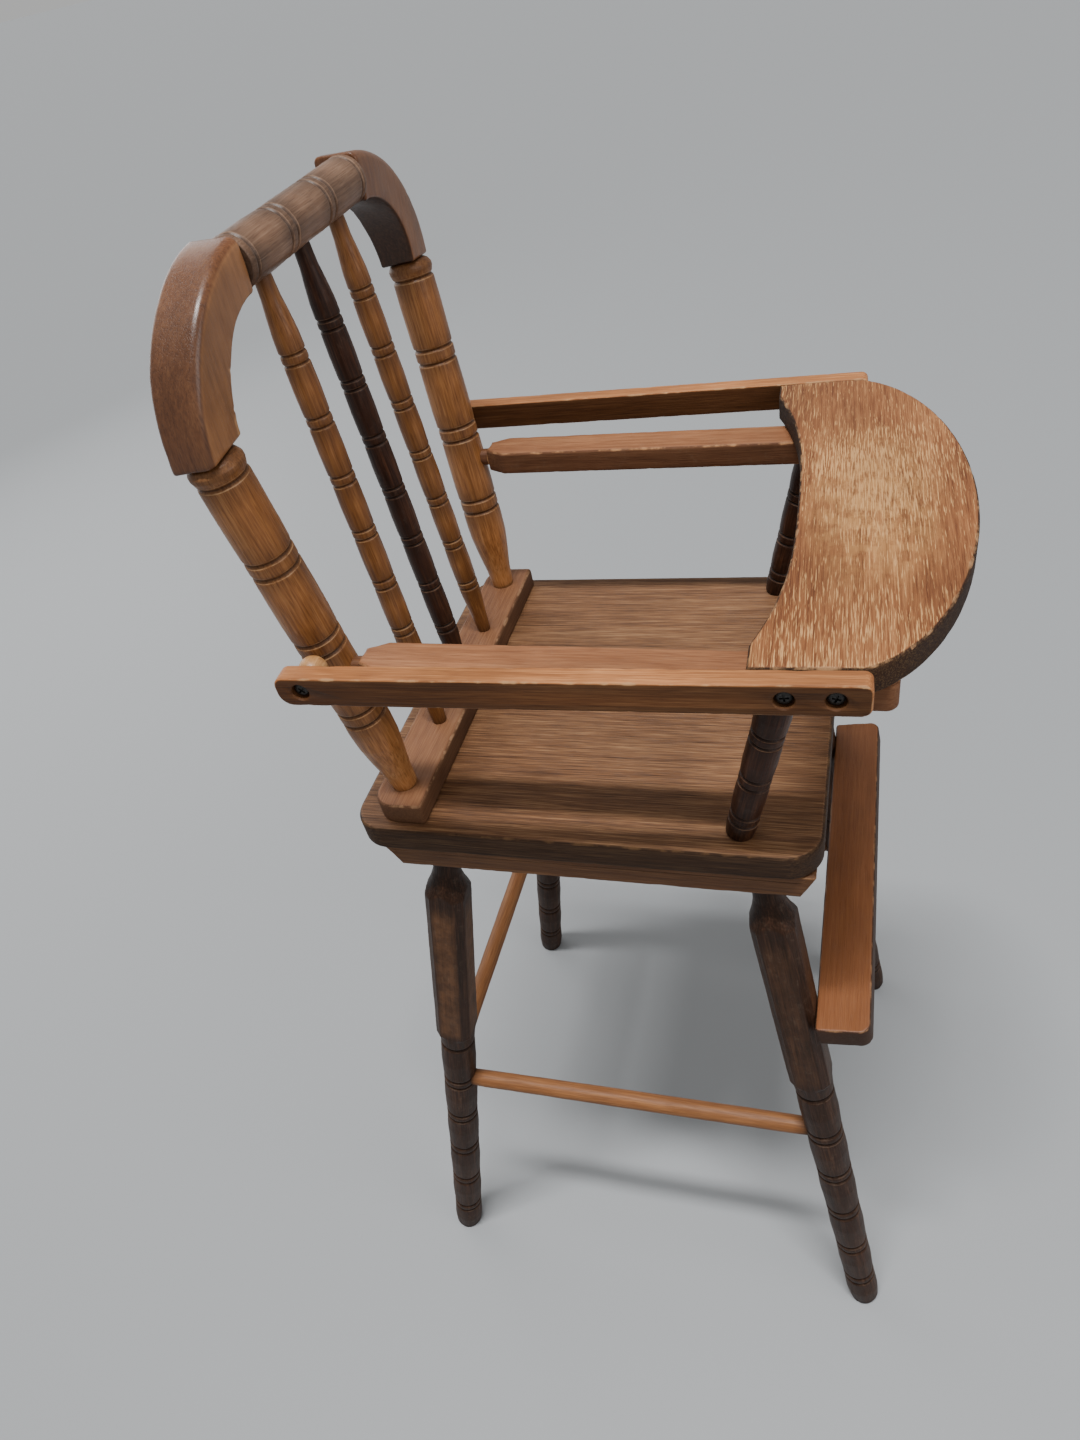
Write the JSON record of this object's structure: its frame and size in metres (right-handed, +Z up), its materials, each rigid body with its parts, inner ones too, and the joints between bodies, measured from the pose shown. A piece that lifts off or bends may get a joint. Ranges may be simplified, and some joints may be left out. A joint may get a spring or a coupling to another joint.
{
  "type": "baby high chair",
  "caption": "Spool-turned wooden baby high chair on splayed legs, with a footrest and a curved tray that swings up and over the back.",
  "frame": {"origin": "on the floor under the middle of the chair's outline", "axes": "+Z up, the child faces -Y, the child's left hand is at +X"},
  "size_m": [0.3982, 0.4802, 1.0023],
  "materials": {
    "wood_tan": "worn satin",
    "wood_reddish": "satin varnish",
    "wood_amber": "satin varnish",
    "wood_dark": "dusty satin",
    "wood_honey": "satin varnish",
    "wood_pale": "satin",
    "wood_greyed": "worn matte",
    "screw_black": "black satin"
  },
  "bodies": {
    "frame": {"arm_post_left": "wood_dark", "arm_post_right": "wood_dark", "armrest_left": "wood_reddish", "armrest_right": "wood_reddish", "back_post_left": "wood_amber", "back_post_right": "wood_amber", "back_rail": "wood_reddish", "back_spindle_left": "wood_amber", "back_spindle_middle": "wood_dark", "back_spindle_right": "wood_amber", "cleat_screw_left_front": "screw_black", "cleat_screw_left_rear": "screw_black", "cleat_screw_right_front": "screw_black", "cleat_screw_right_rear": "screw_black", "crest_rail": "wood_greyed", "footrest": "wood_honey", "footrest_screw_left": "screw_black", "footrest_screw_right": "screw_black", "leg_front_left": "wood_dark", "leg_front_right": "wood_dark", "leg_rear_left": "wood_dark", "leg_rear_right": "wood_dark", "pivot_ball_left": "wood_pale", "pivot_ball_right": "wood_pale", "pivot_screw_left": "screw_black", "pivot_screw_right": "screw_black", "rail_screw_left": "screw_black", "rail_screw_right": "screw_black", "rear_stretcher": "wood_honey", "seat": "wood_tan", "seat_cleat_left": "wood_honey", "seat_cleat_right": "wood_honey", "shoulder_block_left": "wood_reddish", "shoulder_block_right": "wood_reddish", "side_stretcher_left": "wood_honey", "side_stretcher_right": "wood_honey"},
    "tray": {"tray_arm_left": "wood_reddish", "tray_arm_right": "wood_reddish", "tray_board": "wood_tan", "tray_screw_left_front": "screw_black", "tray_screw_left_rear": "screw_black", "tray_screw_right_front": "screw_black", "tray_screw_right_rear": "screw_black"}
  },
  "joints": [
    {"name": "tray_swing", "type": "hinge", "parent": "frame", "child": "tray", "pos_m": [0, 0.14453, 0.77749], "axis": [-0.9995, -0.0323, -0.0006], "range_deg": [0, 250]}
  ]
}
